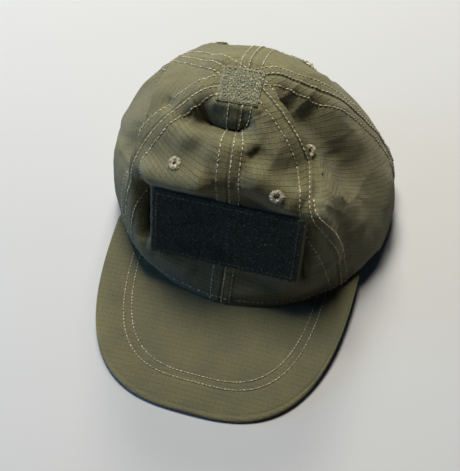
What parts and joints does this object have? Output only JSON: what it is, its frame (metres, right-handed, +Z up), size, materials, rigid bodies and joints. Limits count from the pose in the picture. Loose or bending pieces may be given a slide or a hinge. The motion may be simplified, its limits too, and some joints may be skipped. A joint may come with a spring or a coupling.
{
  "type": "baseball cap",
  "caption": "Soft unstructured cap with a stitched visor, loop-faced patch fields on the front, top and back, and a hook-and-loop strap across the rear opening.",
  "frame": {"origin": "centre of the bounding box in plan, on the surface the cap rests on", "axes": "+Z up, -Y towards the tip of the visor, +X towards the wearer's left"},
  "size_m": [0.189, 0.256, 0.1331],
  "materials": {
    "ripstop": "washed olive ripstop cloth with a fine raised grid",
    "loop_pile": "dense fuzzy loop pile",
    "thread": "satin-stitched thread",
    "binding_tape": "flat woven tape",
    "band_cloth": "plain woven cloth",
    "band_foam": "thin open foam",
    "board": "bare flexible sheet",
    "webbing": "doubled cloth strap",
    "hook_pile": "short stiff hooks on a woven tape"
  },
  "bodies": {
    "cap": {"front_right_panel": "ripstop", "front_left_panel": "ripstop", "side_right_panel": "ripstop", "side_left_panel": "ripstop", "rear_right_panel": "ripstop", "rear_left_panel": "ripstop", "eyelet_front_right": "thread", "eyelet_front_left": "thread", "eyelet_side_right": "thread", "eyelet_side_left": "thread", "eyelet_rear_right": "thread", "eyelet_rear_left": "thread", "front_centre_seam_tape": "binding_tape", "front_right_seam_tape": "binding_tape", "front_left_seam_tape": "binding_tape", "rear_right_seam_tape": "binding_tape", "rear_left_seam_tape": "binding_tape", "rear_centre_seam_tape": "binding_tape", "front_patch": "loop_pile", "top_patch": "loop_pile", "rear_patch": "loop_pile", "visor_upper_cover": "ripstop", "visor_board": "board", "visor_lower_cover": "ripstop", "sweatband": "band_cloth", "sweatband_foam": "band_foam", "opening_binding": "binding_tape", "strap_base": "webbing", "strap_loop_tape": "loop_pile", "strap_anchor": "webbing"},
    "strap_end": {"strap_tab": "webbing", "strap_hook_tape": "hook_pile"}
  },
  "joints": [
    {"name": "strap_peel", "type": "hinge", "parent": "cap", "child": "strap_end", "pos_m": [0.04029, 0.11497, 0.00818], "axis": [0, 0, -1], "range_deg": [0, 110]}
  ]
}
